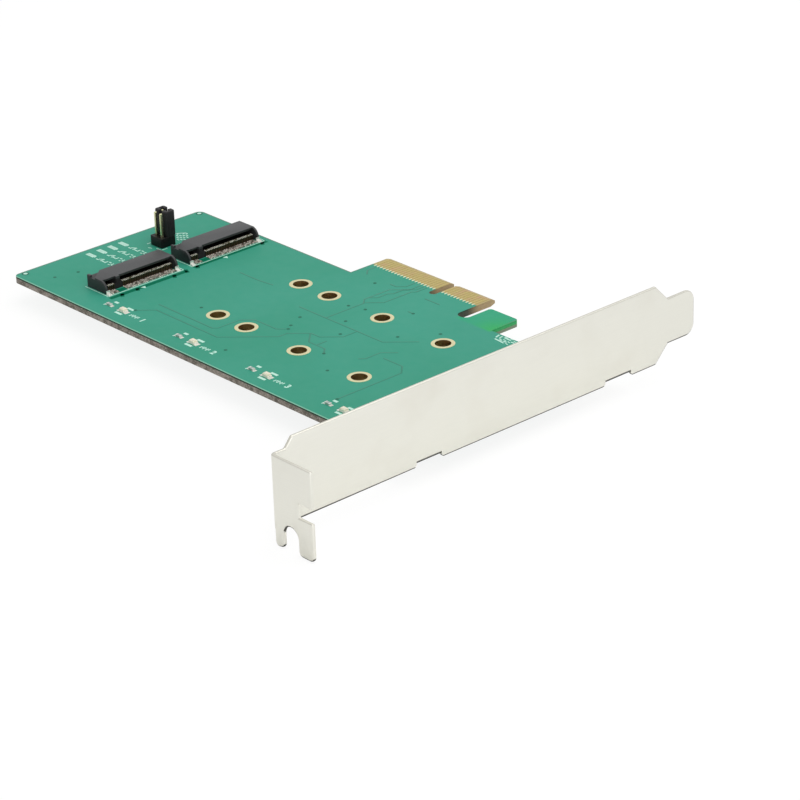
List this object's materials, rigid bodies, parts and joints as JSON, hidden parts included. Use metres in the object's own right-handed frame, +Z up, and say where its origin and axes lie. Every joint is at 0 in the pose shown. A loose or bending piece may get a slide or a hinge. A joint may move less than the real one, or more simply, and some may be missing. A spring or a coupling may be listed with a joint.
{
  "type": "ssd adapter card",
  "caption": "Expansion card that carries solid state drives flat in edge sockets on a green circuit board, with a gold card edge connector and a folded steel slot bracket.",
  "frame": {"origin": "middle of the key notch on the outer edge of the card edge tongue, at the height of the component face", "axes": "+X along the board towards the bracket, +Y out of the card edge connector, +Z up from the component face"},
  "size_m": [0.1486, 0.12, 0.0219],
  "materials": {
    "board_green": "satin solder mask on glass epoxy",
    "ring_gold": "immersion gold over copper",
    "contact_gold": "hard gold plating",
    "socket_black": "moulded, satin",
    "tin": "tinned copper",
    "header_black": "moulded",
    "pin_gold": "gold flash",
    "clip_brass": "plain",
    "light_cream": "plain",
    "lens_cream": "clear cast",
    "resistor_black": "glazed",
    "bracket_steel": "zinc plated, matt",
    "screw_steel": "zinc plated"
  },
  "bodies": {
    "root": {"board": "board_green", "front_hole_platings": "ring_gold", "rear_hole_platings": "ring_gold", "edge_contacts_top": "contact_gold", "edge_contacts_bottom": "contact_gold", "front_socket_housing": "socket_black", "front_socket_lower_contacts": "contact_gold", "front_socket_upper_contacts": "contact_gold", "front_socket_solder_tabs": "tin", "rear_socket_housing": "socket_black", "rear_socket_lower_contacts": "contact_gold", "rear_socket_upper_contacts": "contact_gold", "rear_socket_solder_tabs": "tin", "header_base": "header_black", "header_pins": "pin_gold", "jumper_cap": "header_black", "jumper_clip": "clip_brass", "light_bodies": "light_cream", "light_lenses": "lens_cream", "resistor_bodies": "resistor_black", "resistor_terminals": "tin", "bracket": "bracket_steel", "bracket_screws": "screw_steel"}
  },
  "joints": []
}
